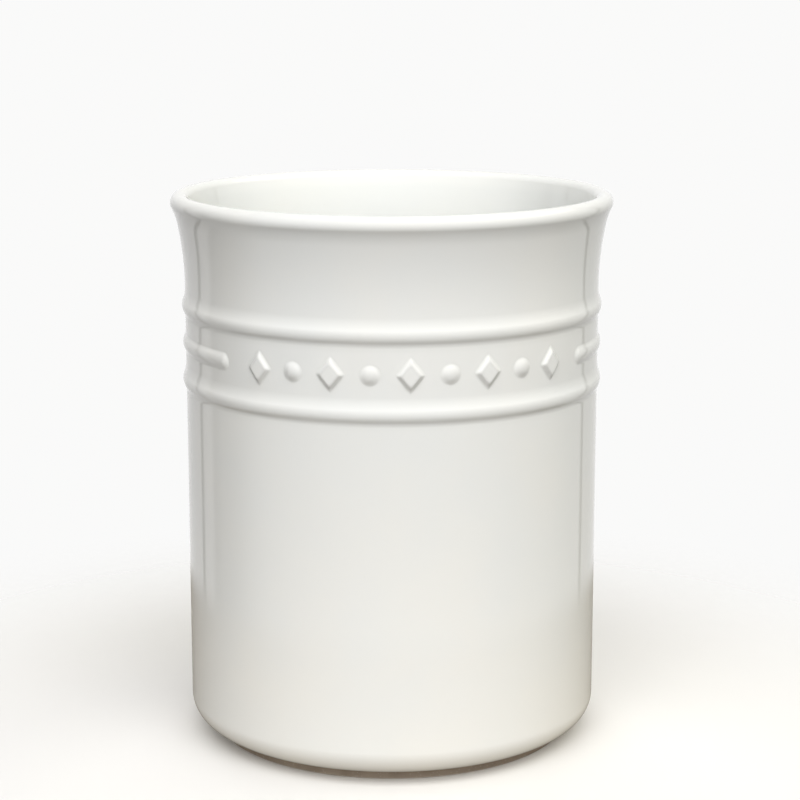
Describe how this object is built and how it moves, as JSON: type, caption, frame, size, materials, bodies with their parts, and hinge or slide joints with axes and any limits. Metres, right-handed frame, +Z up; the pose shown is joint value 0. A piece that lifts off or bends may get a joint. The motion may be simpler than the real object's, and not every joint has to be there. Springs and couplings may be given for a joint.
{
  "type": "utensil holder",
  "caption": "Upright glazed stoneware utensil holder with a flared, rolled rim, two raised rings, a moulded ornament band and a bare foot ring.",
  "frame": {"origin": "centre of the foot ring, on the surface that the holder stands on", "axes": "+Z up along the pot's axis; -Y is the front, where the ornament is centred; +X is to the right seen from the front"},
  "size_m": [0.152, 0.152, 0.19],
  "materials": {
    "bare_stoneware": "matte unglazed grey-beige stoneware, ground smooth under the foot",
    "outer_glaze": "glossy warm white glaze",
    "inner_glaze": "glossy white liner glaze"
  },
  "bodies": {
    "root": {"stoneware_body": "bare_stoneware", "outer_glaze": "outer_glaze", "inner_glaze": "inner_glaze", "underside_glaze": "outer_glaze"}
  },
  "joints": []
}
